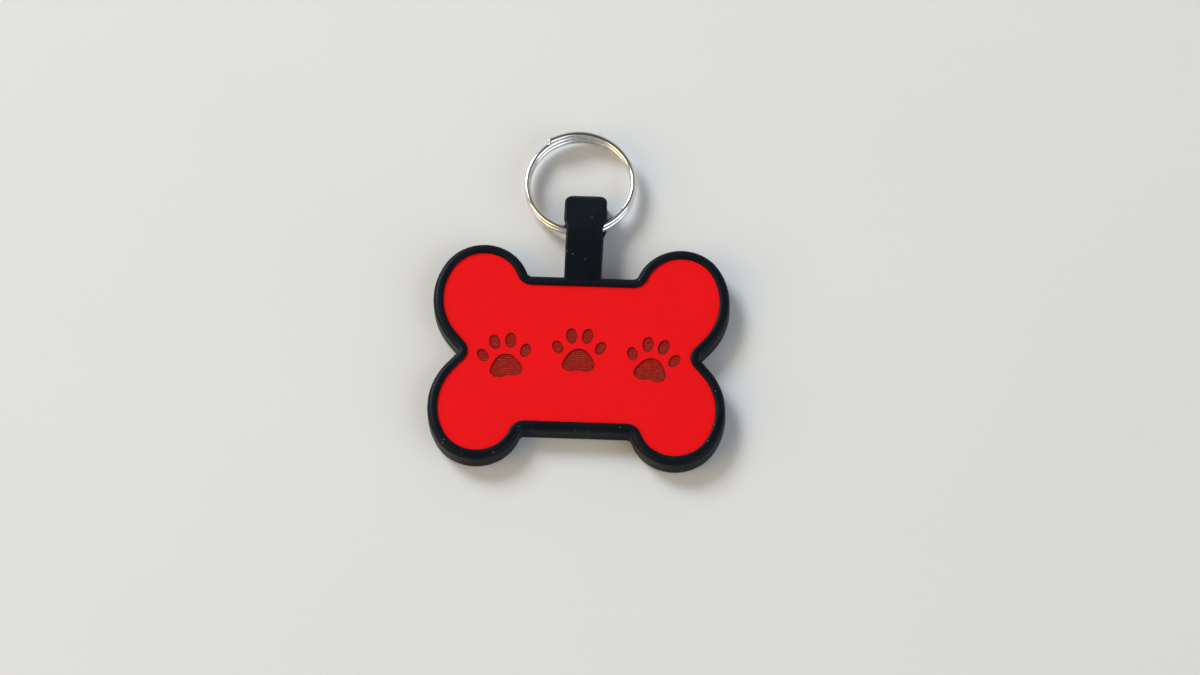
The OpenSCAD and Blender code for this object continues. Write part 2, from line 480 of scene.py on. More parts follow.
@dataclass(frozen=True)
class MouldedSilicone:
    """Black silicone with the fine satin skin of its mould, a little dust, and a painted bluish tint on
    its reflections.
    """

    dark: Colour = (0.0018, 0.0025, 0.0038)
    pale: Colour = (0.0046, 0.0060, 0.0088)
    cloud: float = 4 * MM
    grain: float = 0.14 * MM
    grain_depth: float = 0.005 * MM
    ripple: float = 1.6 * MM
    ripple_depth: float = 0.004 * MM
    gloss_patch: float = 0.8 * MM
    gloss_low: float = 0.40
    gloss_high: float = 0.46
    sheen: float = 0.14
    # Tints every reflection bluish: painted blue window light in the sheen.
    painted_blue_reflection_tint: Colour = (0.66, 0.84, 1.0)
    dust: Colour = (0.34, 0.32, 0.30)
    dust_cell: float = 1.1 * MM
    dust_r: float = 0.075 * MM
    dust_share: float = 0.40
    dust_gloss: float = 0.9

    def build(self) -> Material:
        """Returns the material."""
        made = Shades(bpy.data.materials.new("black_silicone"))
        cloud = made.noise(self.cloud, detail=4)
        grain = made.noise(self.grain)
        base = made.mix(made.spread(cloud, 0, 1), self.dark, self.pale)
        specks = made.specks(self.dust_cell, self.dust_r, self.dust_share)
        satin = made.spread(made.noise(self.gloss_patch, detail=3), self.gloss_low, self.gloss_high)
        dusty = made.maths(Sum.TIMES, specks, self.dust_gloss)
        skin = made.relief(grain, self.grain_depth)
        skin = made.relief(made.noise(self.ripple, detail=1), self.ripple_depth, Normal=skin)
        return made.wear(
            Base_Color=made.mix(specks, base, self.dust),
            Roughness=made.maths(Sum.LARGER, satin, dusty),
            Normal=skin,
            Specular_IOR_Level=self.sheen,
            # The bluish specular tint is a painted reflection of blue window light.
            Specular_Tint=(*self.painted_blue_reflection_tint, 1),
        )


@dataclass(frozen=True)
class MatteFace:
    """Matte red sheet with a faint cloudiness, a fine tooth and hairline rubbing."""

    colour: Colour = (0.820, 0.0030, 0.0052)
    worn: Colour = (0.795, 0.0036, 0.0058)
    cloud: float = 7 * MM
    cloud_range: tuple[float, float] = (0.35, 0.7)
    tooth: float = 0.10 * MM
    tooth_depth: float = 0.006 * MM
    rubbing: float = 7 / 3 * MM
    gloss_low: float = 0.52
    gloss_high: float = 0.56
    sheen: float = 0.09

    def build(self) -> Material:
        """Returns the material."""
        made = Shades(bpy.data.materials.new("matte_red"))
        cloud = made.spread(made.noise(self.cloud, detail=3), 0, 1, self.cloud_range)
        rubbed = made.noise(self.rubbing, detail=4)
        return made.wear(
            Base_Color=made.mix(cloud, self.colour, self.worn),
            Roughness=made.spread(rubbed, self.gloss_low, self.gloss_high),
            Normal=made.relief(made.noise(self.tooth), self.tooth_depth),
            Specular_IOR_Level=self.sheen,
        )


@dataclass(frozen=True)
class BurntEngraving:
    """Laser engraving in the red sheet: fine lines across the floor, and walls darkened with painted
    shade.
    """

    # Painted shade: the engraving's walls turn near-black, the shade that falls in the grooves.
    painted_wall_shade: Colour = (0.060, 0.004, 0.003)
    line_dark: Colour = (0.180, 0.008, 0.004)
    line_pale: Colour = (0.520, 0.024, 0.012)
    pitch: float = 0.42 * MM
    line_depth: float = 0.030 * MM
    wander: float = 1.2
    wander_detail: float = 2.0
    wander_rate: float = 1.5
    patch: float = 0.6 * MM
    patch_range: tuple[float, float] = (0.35, 0.65)
    patch_least: float = 0.25
    # Shares of the wall's height between which the painted shade comes in; above them the wall is fully
    # dark.
    wall_shade_shares: tuple[float, float] = (0.1, 0.5)
    gloss: float = 0.70
    sheen: float = 0.09

    def build(self, floor_z: float, top_z: float) -> Material:
        """Builds the material.

        Args:
            floor_z: height of the engraving's floor.
            top_z: height of the face.

        Returns:
            The material.
        """
        made = Shades(bpy.data.materials.new("burnt_engraving"))
        lines = made.node(
            "TexWave", Vector=made.place, wave_type="BANDS", bands_direction="Y",
            Scale=math.tau / WAVE_RATE / self.pitch, Distortion=self.wander,
            Detail=self.wander_detail, Detail_Scale=self.wander_rate,
        ).outputs["Fac"]
        patch = made.spread(made.noise(self.patch, detail=3), self.patch_least, 1, self.patch_range)
        burnt = made.mix(made.maths(Sum.TIMES, lines, patch), self.line_dark, self.line_pale)
        height = made.node("SeparateXYZ", Vector=made.place).outputs["Z"]
        low, high = (floor_z + share * (top_z - floor_z) for share in self.wall_shade_shares)
        return made.wear(
            # Painted shade darkens the walls above their lowest part; the floor keeps its burnt lines.
            Base_Color=made.mix(made.spread(height, 0, 1, (low, high)), burnt, self.painted_wall_shade),
            Roughness=self.gloss,
            Normal=made.relief(lines, self.line_depth),
            Specular_IOR_Level=self.sheen,
        )


@dataclass(frozen=True)
class NickelPlate:
    """Bright nickel on drawn wire: fine lines along the run, and faint smudges."""

    colour: Colour = (0.800, 0.785, 0.760)
    dull: Colour = (0.640, 0.625, 0.600)
    dull_range: tuple[float, float] = (0.5, 0.8)
    line: float = 0.05
    line_depth: float = 0.004 * MM
    smudge: float = 1.8 * MM
    gloss_low: float = 0.07
    gloss_high: float = 0.20
    gloss_range: tuple[float, float] = (0.35, 0.7)

    def build(self) -> Material:
        """Returns the material."""
        made = Shades(bpy.data.materials.new("nickel_plate"))
        along = made.node("Attribute", attribute_name="drawn").outputs["Vector"]
        smudge = made.noise(self.smudge, detail=3)
        return made.wear(
            Base_Color=made.mix(made.spread(smudge, 0, 1, self.dull_range), self.colour, self.dull),
            Metallic=1.0,
            Roughness=made.spread(smudge, self.gloss_low, self.gloss_high, self.gloss_range),
            Normal=made.relief(made.noise(self.line, place=along), self.line_depth),
        )


@dataclass(frozen=True)
class PaleFloor:
    """Plain pale sheet under the tag."""

    colour: Colour = (0.74, 0.74, 0.73)
    cloud: float = 60 * MM
    cloud_share: float = 0.96
    tooth: float = 0.5 * MM
    tooth_depth: float = 0.02 * MM
    tooth_strength: float = 0.3
    gloss: float = 0.85
    sheen: float = 0.2

    def build(self) -> Material:
        """Returns the material."""
        made = Shades(bpy.data.materials.new("pale_floor"))
        clouded = tuple(self.cloud_share * c for c in self.colour)
        tooth = made.noise(self.tooth)
        return made.wear(
            Base_Color=made.mix(made.noise(self.cloud), self.colour, clouded),
            Roughness=self.gloss,
            Specular_IOR_Level=self.sheen,
            Normal=made.relief(tooth, self.tooth_depth, Strength=self.tooth_strength),
        )


# Pieces


@dataclass(frozen=True)
class BoneOutline:
    """Outline of the bone at the edge of its face: arcs that run into each other, four times over."""

    length: float
    width: float
    mid_width: float = 26.7 * MM
    side_r: float = 10.8 * MM
    side_y: float = 10.4 * MM
    top_r: float = 6.6 * MM
    flank: float = math.radians(49)
    notch_r: float = 2.3 * MM
    neck_r: float = 2.5 * MM
    notch_steps: int = 10
    side_steps: int = 34
    top_steps: int = 40
    neck_steps: int = 12

    @property
    def side(self) -> Vector:
        """Centre of the arc on the outer side of a lobe."""
        return Vector((self.length / 2 - self.side_r, self.side_y, 0))

    @property
    def top(self) -> Vector:
        """Centre of the arc at the top of a lobe."""
        y = self.width / 2 - self.top_r
        x = self.side.x + math.sqrt((self.side_r - self.top_r) ** 2 - (y - self.side_y) ** 2)
        return Vector((x, y, 0))

    @property
    def notch(self) -> Vector:
        """Centre of the arc in the notch at the end of the bone."""
        reach = self.side_r + self.notch_r - self.side_y * math.cos(self.flank)
        return Vector((self.side.x + reach / math.sin(self.flank), 0, 0))

    @property
    def neck(self) -> Vector:
        """Centre of the arc where a lobe meets the straight edge."""
        y = self.mid_width / 2 + self.neck_r
        x = self.top.x - math.sqrt((self.top_r + self.neck_r) ** 2 - (y - self.top.y) ** 2)
        return Vector((x, y, 0))

    def face(self, bm: BMesh, grow: float, z: float) -> BMFace:
        """Draws a quarter, mirrors it twice and spans it.

        Args:
            bm: an empty mesh.
            grow: how far outwards the outline is moved.
            z: its height.

        Returns:
            The face, looking up.
        """
        up = Z_AXIS * z
        to_top = (self.top - self.side).to_2d()
        to_neck = (self.neck - self.top).to_2d()
        side_end = math.atan2(to_top.y, to_top.x)
        top_end = math.atan2(to_neck.y, to_neck.x)
        pen = Pen(bm, on_circle(self.notch, self.notch_r - grow, math.pi) + up, Z_AXIS)
        pen.turn(self.notch, self.flank - QUARTER, self.notch_steps)
        pen.line(on_circle(self.side, self.side_r + grow, self.flank - QUARTER) + up)
        pen.turn(self.side, side_end - self.flank + QUARTER, self.side_steps)
        pen.turn(self.top, top_end - side_end, self.top_steps)
        pen.turn(self.neck, QUARTER - top_end, self.neck_steps)
        pen.line(Vector((0, self.mid_width / 2 + grow, z)))
        for axis in "XY":
            bmesh.ops.mirror(bm, geom=bm.verts[:] + bm.edges[:], merge_dist=WELD, axis=axis)
        face = fill(bm)
        if face.normal.z < 0:
            bmesh.ops.reverse_faces(bm, faces=[face])
        return face


@dataclass(frozen=True)
class StrapLoop:
    """Loop moulded to the bone's top edge: an arched strap with a slot through it from side to side."""

    height: float
    body_edge_y: float
    rim_z: float
    end_y: float = 28.7 * MM
    crest_y: float = 23 * MM
    arch_r: float = 32.4 * MM
    wall: float = 0.9 * MM
    shank_w: float = 6.5 * MM
    head_w: float = 7.5 * MM
    head_y: float = 24 * MM
    head_blend: float = 1.6 * MM
    corner_r: float = 2.0 * MM
    edge_r: float = 0.4 * MM
    mouth_r: float = 0.25 * MM
    slot_root: float = 3.4 * MM
    root_bite: float = 0.97 * MM
    blend_r: float = 2.6 * MM
    foot_bite: float = 0.65 * MM
    under: float = 0.02 * MM
    slice: float = 0.2 * MM
    end_steps: int = 16
    bore_steps: int = 14
    near_low_steps: int = 12
    near_high_steps: int = 10
    slot_arch_steps: int = 36
    arch_steps: int = 60
    blend_steps: int = 4
    edge_steps: int = 4
    side_tilt: float = 0.1
    root_tilt: float = 0.8

    def nested(self, y: float, wall: float) -> Vector:
        """Finds the circle that nests between the arch and the underside.

        Args:
            y: where its centre is.
            wall: thickness left outside it.

        Returns:
            Its radius as x, and its centre as y and z.
        """
        rise, over = self.arch_r - wall, self.height - self.arch_r
        radius = (rise**2 - (y - self.crest_y) ** 2 - (wall - over) ** 2) / (2 * (rise + wall - over))
        return Vector((radius, y, wall + radius))

    def nested_from(self, near_y: float) -> float:
        """Finds how large a circle nests inside the walls, between the arch and the lower wall.

        Args:
            near_y: where its near side is.

        Returns:
            Its radius.
        """
        rise = self.arch_r - self.wall
        back = near_y - self.crest_y
        up = self.wall + self.arch_r - self.height
        total = back + up + rise
        return math.sqrt(total**2 + rise**2 - back**2 - up**2) - total

    @property
    def arch(self) -> Vector:
        """Centre of the arched top."""
        return flat(self.crest_y, self.height - self.arch_r)

    @property
    def far_y(self) -> float:
        """The loop's far end."""
        return self.end_y + self.nested(self.end_y, 0).x

    def half_width(self, y: float) -> float:
        """Finds half the strap's width: the shank, the widening head and its rounded corners.

        Args:
            y: the place along the strap.

        Returns:
            Half its width there.
        """
        widened = smooth_step((y - self.head_y) / self.head_blend)
        half = (self.shank_w + (self.head_w - self.shank_w) * widened) / 2
        over = y - (self.far_y - self.corner_r)
        if over > 0:
            half -= self.corner_r - math.sqrt(max(0.0, self.corner_r**2 - over**2))
        return half

    def side_faces(self, bm: BMesh) -> list[BMFace]:
        """Draws the strap's side view at its left side, in two halves that meet at the slot's ends.

        Args:
            bm: an empty mesh.

        Returns:
            The lower and the upper face.
        """
        left = -self.shank_w / 2
        arch = self.arch + X_AXIS * left
        end_r, _, end_z = self.nested(self.end_y, 0)
        end = flat(self.end_y, end_z, left)
        slot_r = self.nested_from(self.body_edge_y + self.slot_root)
        slot = flat(self.body_edge_y + self.slot_root + slot_r, self.wall + slot_r, left)
        touch = math.atan2(end.z - arch.z, end.y - arch.y)
        slot_touch = math.atan2(slot.z - arch.z, slot.y - arch.y)
        root = flat(self.body_edge_y - self.root_bite, slot.z, left)

        pen = Pen(bm, root, X_AXIS)
        lowest = math.acos(1 - self.under / end_r)
        pen.line(flat(self.body_edge_y - self.foot_bite, self.under, left))
        pen.line(on_side(end, end_r, lowest - QUARTER)).turn(end, QUARTER - lowest, self.end_steps)
        pen.line(on_side(end, end_r - self.wall, 0)).turn(end, -QUARTER, self.bore_steps)
        pen.line(on_side(slot, slot_r, -QUARTER)).turn(slot, -QUARTER, self.near_low_steps)
        pen.line(root)
        fill(bm)

        blend_z = self.rim_z + self.blend_r
        blend_back = math.sqrt((self.arch_r + self.blend_r) ** 2 - (blend_z - arch.z) ** 2)
        blend = flat(arch.y - blend_back, blend_z, left)
        blend_turn = math.atan2(blend.z - arch.z, blend.y - arch.y)
        pen = Pen(bm, root, X_AXIS)
        pen.line(on_side(slot, slot_r, math.pi))
        pen.turn(slot, slot_touch - math.pi, self.near_high_steps)
        pen.turn(arch, touch - slot_touch, self.slot_arch_steps).turn(end, -touch, self.bore_steps)
        pen.line(on_side(end, end_r, 0)).turn(end, touch, self.end_steps)
        pen.turn(arch, blend_turn - touch, self.arch_steps)
        pen.turn(blend, QUARTER - blend_turn, self.blend_steps)
        pen.line(flat(root.y, self.rim_z, left)).line(root)
        fill(bm)
        bmesh.ops.remove_doubles(bm, verts=bm.verts[:], dist=WELD)
        bmesh.ops.reverse_faces(bm, faces=[f for f in bm.faces if f.normal.x > 0])
        return bm.faces[:]

    def build(self) -> Object:
        """Returns the strap as a solid of its own."""
        bm = bmesh.new()
        faces = self.side_faces(bm)
        grown = bmesh.ops.extrude_face_region(bm, geom=faces, use_keep_orig=True)["geom"]
        moved = [g for g in grown if isinstance(g, BMVert)]
        bmesh.ops.translate(bm, verts=moved, vec=X_AXIS * self.shank_w)
        bmesh.ops.recalc_face_normals(bm, faces=bm.faces[:])
        bevel(bm, self.long_edges(bm, at_slot=False), self.edge_r, self.edge_steps, slide=True)
        bevel(bm, self.long_edges(bm, at_slot=True), self.mouth_r, self.edge_steps, slide=True)
        self.widen_head(bm)
        return finished_mesh(bm, "strap_loop")

    def long_edges(self, bm: BMesh, at_slot: bool) -> list[BMEdge]:
        """Finds the long edges on both sides of the strap.

        Args:
            bm: the strap's mesh, before its head is widened.
            at_slot: True for the slot's mouths, False for the outside.

        Returns:
            The edges, without those that lie inside the bone.
        """
        edges = []
        for e in bm.edges:
            middle = (e.verts[0].co + e.verts[1].co) / 2
            walls = [f.normal for f in e.link_faces if abs(f.normal.x) < self.side_tilt]
            if abs(middle.x) < self.shank_w / 2 - WELD or len(walls) != 1 or len(e.link_faces) != 2:
                continue
            at_root = middle.y < self.body_edge_y and abs(walls[0].y) > self.root_tilt
            if not at_root and at_slot != self.outside(middle):
                edges.append(e)
        return edges

    def outside(self, point: Vector) -> bool:
        """Tells whether a point lies on the strap's outer outline.

        Args:
            point: a point on the strap's surface.

        Returns:
            True on the outer outline, False in the slot.
        """
        end_r, _, end_z = self.nested(self.end_y, 0)
        from_end = (flat(point.y, point.z) - flat(self.end_y, end_z)).length
        from_arch = (flat(point.y, point.z) - self.arch).length
        on_end = point.y > self.end_y and from_end > end_r - self.wall / 2
        return on_end or from_arch > self.arch_r - self.wall / 2 or point.z < self.wall / 2

    def widen_head(self, bm: BMesh) -> None:
        """Cuts the head into slices and gives each its width.

        Args:
            bm: the strap's mesh, as wide as its shank all along.
        """
        cut = self.head_y
        while cut < self.far_y:
            whole = bm.verts[:] + bm.edges[:] + bm.faces[:]
            bmesh.ops.bisect_plane(bm, geom=whole, dist=WELD, plane_co=(0, cut, 0), plane_no=(0, 1, 0))
            cut += self.slice
        for v in bm.verts:
            v.co.x += math.copysign(1, v.co.x) * (self.half_width(v.co.y) - self.shank_w / 2)


@dataclass(frozen=True)
class SiliconeBody:
    """The black moulding: bone, bead rim with its lip over the sheet's edge, tray and strap loop."""

    outline: BoneOutline
    strap: StrapLoop
    rim_w: float
    crest_z: float
    face_z: float
    tray_z: float
    gap: float = 0.05 * MM
    lip: float = 0.30 * MM
    lip_air: float = 0.02 * MM
    outer_r: float = 0.9 * MM
    inner_r: float = 0.40 * MM
    back_r: float = 0.6 * MM
    held: float = 0.06 * MM
    outer_steps: int = 10
    inner_steps: int = 6
    back_steps: int = 6
    cove_r: float = 0.45 * MM
    cove_end: float = 0.10 * MM
    cove_taper: float = 0.9 * MM
    cove_least: float = 0.3
    cove_sunk: float = 0.004 * MM
    cove_levels: int = 26
    cove_steps: int = 8

    @property
    def shoulder(self) -> float:
        """Height at which the rim's outer rounding begins."""
        return self.crest_z - self.outer_r

    def build(self) -> Object:
        """Builds, dresses and places the piece.

        Returns:
            The piece, riding on the tag.
        """
        finish = MouldedSilicone().build()
        piece = self.bone()
        piece.data.materials.append(finish)
        for part in (self.strap.build(), self.coves()):
            part.data.materials.append(finish)
            combine(piece, part, Joining.ADD)
        even_shading(piece)
        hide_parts("silicone_body")
        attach(piece, "tag")
        return piece

    def bone(self) -> Object:
        """Returns the bone with its rim, lip and tray, before the strap is added."""
        bm = bmesh.new()
        low = self.outline.face(bm, self.rim_w, self.back_r)
        high = lift(bm, low, self.shoulder - self.back_r, keep=True)
        bmesh.ops.recalc_face_normals(bm, faces=bm.faces[:])
        back = rounding((self.rim_w - self.back_r, self.back_r), self.back_r, 0, -90, self.back_steps)
        follow(bm, low, back + [(back[-1][0] - self.held, 0.0)])
        lip_in = self.gap - self.lip
        lip_z = self.face_z + self.lip_air
        outer_at = (self.rim_w - self.outer_r, self.shoulder)
        inner_at = (lip_in + self.inner_r, self.crest_z - self.inner_r)
        outer = rounding(outer_at, self.outer_r, 0, 90, self.outer_steps)
        inner = rounding(inner_at, self.inner_r, 90, 180, self.inner_steps)
        under = [(lip_in, lip_z), (self.gap, lip_z)]
        tray = [(self.gap, self.tray_z), (self.gap - self.held, self.tray_z)]
        follow(bm, high, outer + inner + under + tray)
        return finished_mesh(bm, "silicone_body_skin")

    def corner(self, z: float) -> Vector:
        """Finds the inside corner between the rim and the strap's right side.

        Args:
            z: the height.

        Returns:
            The corner at that height.
        """
        strap = self.strap
        into_rim = max(0.0, z - self.shoulder)
        into_back = max(0.0, self.back_r - z)
        y = strap.body_edge_y - self.outer_r + math.sqrt(self.outer_r**2 - into_rim**2)
        y += math.sqrt(self.back_r**2 - into_back**2) - self.back_r
        into_edge = max(0.0, z - (self.crest_z - strap.edge_r), strap.under + strap.edge_r - z)
        x = strap.shank_w / 2 - strap.edge_r + math.sqrt(strap.edge_r**2 - into_edge**2)
        return Vector((x, y, z))

    def cove_share(self, from_end: float) -> float:
        """Returns how much of its full size a cove has at a height from its nearer end."""
        return self.cove_least + (1 - self.cove_least) * smooth_step(from_end / self.cove_taper)

    def coves(self) -> Object:
        """Returns the small hollow fillets that fill the corners beside the strap's root."""
        bm = bmesh.new()
        middle = self.crest_z / 2
        reach = middle - self.cove_end
        turns = [math.pi * i / self.cove_levels for i in range(self.cove_levels + 1)]
        levels = [middle - reach * math.cos(turn) for turn in turns]
        shares = [self.cove_share(reach - abs(z - middle)) for z in levels]
        at = self.corner(levels[0])
        size = self.cove_r * shares[0]
        start = at + Vector((-size / 2, -size / 2, 0))
        pen = Pen(bm, start, Z_AXIS)
        pen.line(at + Vector((size, -size / 2, 0))).line(at + Vector((size, -self.cove_sunk, 0)))
        pen.turn(at + Vector((size, size, 0)), -QUARTER, self.cove_steps)
        pen.line(at + Vector((-size / 2, size, 0))).line(start)
        face = fill(bm)
        for (low, low_share), (high, high_share) in pairwise(zip(levels, shares)):
            face = lift(bm, face, high - low, keep=low == levels[0])
            old = self.corner(low) + Z_AXIS * (high - low)
            grow = high_share / low_share
            move = Matrix.Translation(self.corner(high)) @ Matrix.Diagonal((grow, grow, 1, 1))
            bmesh.ops.transform(bm, matrix=move @ Matrix.Translation(-old), verts=face.verts[:])
        whole = bm.verts[:] + bm.edges[:] + bm.faces[:]
        bmesh.ops.mirror(bm, geom=whole, merge_dist=WELD, axis="X")
        return finished_mesh(bm, "root_coves")


@dataclass(frozen=True)
class Toe:
    """A toe of a paw print, in shares of the print's size, with its lean in degrees."""

    x: float
    y: float
    half_w: float
    half_l: float
    lean: float


@dataclass(frozen=True)
class PawPrint:
    """A plain paw print: one broad pad and four toes, as outlines to engrave."""

    centre: Vector
    tilt: float
    size: float
    toes: tuple[Toe, ...] = (Toe(0.40, 0.085, 0.098, 0.142, 24), Toe(0.150, 0.325, 0.105, 0.158, 7))
    toe_sides: int = 40
    pad_y_share: float = -0.215
    pad_shares: tuple[float, float] = (0.300, 0.245)
    pad_sides: int = 72
    corner_share: float = 0.10
    heel_share: float = 0.16
    rise_share: float = 0.05

    def broad(self, angle: float) -> float:
        """Finds the broad pad's reach: a rounded triangle with two soft lobes below.

        Args:
            angle: the direction from its middle, in radians.

        Returns:
            The reach, about 1.
        """
        up = math.sin(angle)
        corners = self.corner_share * math.sin(3 * angle + math.pi)
        return 1 + corners - self.heel_share * max(0.0, -up) ** 6 + self.rise_share * up

    def draw(self, bm: BMesh, z: float) -> None:
        """Draws the pads as level faces.

        Args:
            bm: the mesh to draw in.
            z: their height.
        """
        place = Matrix.Translation(self.centre + Z_AXIS * z) @ Matrix.Rotation(self.tilt, 4, "Z")
        place = place @ Matrix.Scale(self.size, 4)
        for side, toe in product((-1, 1), self.toes):
            shape = Matrix.Translation((side * toe.x, toe.y, 0))
            shape = shape @ Matrix.Rotation(math.radians(-side * toe.lean), 4, "Z")
            shape = place @ shape @ Matrix.Diagonal((toe.half_w, toe.half_l, 1, 1))
            bmesh.ops.create_circle(
                bm, cap_ends=True, segments=self.toe_sides, radius=1, matrix=shape
            )
        shape = Matrix.Translation((0, self.pad_y_share, 0)) @ Matrix.Diagonal((*self.pad_shares, 1, 1))
        pad = bmesh.ops.create_circle(bm, cap_ends=True, segments=self.pad_sides, radius=1)["verts"]
        for v in pad:
            v.co *= self.broad(math.atan2(v.co.y, v.co.x))
        bmesh.ops.transform(bm, matrix=place @ shape, verts=pad)


@dataclass(frozen=True)
class RedFace:
    """The red sheet in the tray, with a row of paw prints engraved across it."""

    outline: BoneOutline
    tray_z: float
    top_z: float
    edge_r: float = 0.25 * MM
    edge_steps: int = 5
    held: float = 0.06 * MM
    sharp: float = 30.0
    depth: float = 0.22 * MM
    draft: float = 0.07 * MM
    over: float = 0.1 * MM
    print_size: float = 9.4 * MM
    print_pitch: float = 13.0 * MM
    print_y: float = -0.3 * MM
    step_y: float = 0.7 * MM
    tilt: float = math.radians(9)

    def sheet(self) -> Object:
        """Returns the plain sheet with its rounded upper edge."""
        bm = bmesh.new()
        low = self.outline.face(bm, 0.0, self.tray_z)
        high = lift(bm, low, self.top_z - self.edge_r - self.tray_z, keep=True)
        bmesh.ops.recalc_face_normals(bm, faces=bm.faces[:])
        edge = rounding((-self.edge_r, self.top_z - self.edge_r), self.edge_r, 0, 90, self.edge_steps)
        follow(bm, high, edge + [(edge[-1][0] - self.held, self.top_z)])
        return finished_mesh(bm, "red_face_sheet")

    def cutter(self) -> Object:
        """Returns the paw prints as solids that reach down to the engraving's floor."""
        bm = bmesh.new()
        for side in (-1, 0, 1):
            y = self.print_y + self.step_y * (1 - 2 * abs(side))
            centre = Vector((side * self.print_pitch, y, 0))
            PawPrint(centre, -side * self.tilt, self.print_size).draw(bm, self.top_z + self.over)
        for face in bm.faces[:]:
            low = lift(bm, face, -self.over, keep=True)
            if low.normal.z > 0:
                bmesh.ops.reverse_faces(bm, faces=[low])
            sink(bm, low, self.draft, self.depth)
        return finished_mesh(bm, "print_cutter")

    def build(self) -> Object:
        """Builds, dresses and places the piece.

        Returns:
            The piece, riding on the tag.
        """
        piece = self.sheet()
        piece.data.materials.append(MatteFace().build())
        cutter = self.cutter()
        cutter.data.materials.append(BurntEngraving().build(self.top_z - self.depth, self.top_z))
        combine(piece, cutter, Joining.CUT)
        even_shading(piece, self.sharp)
        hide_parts("face_inlay")
        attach(piece, "tag")
        return piece


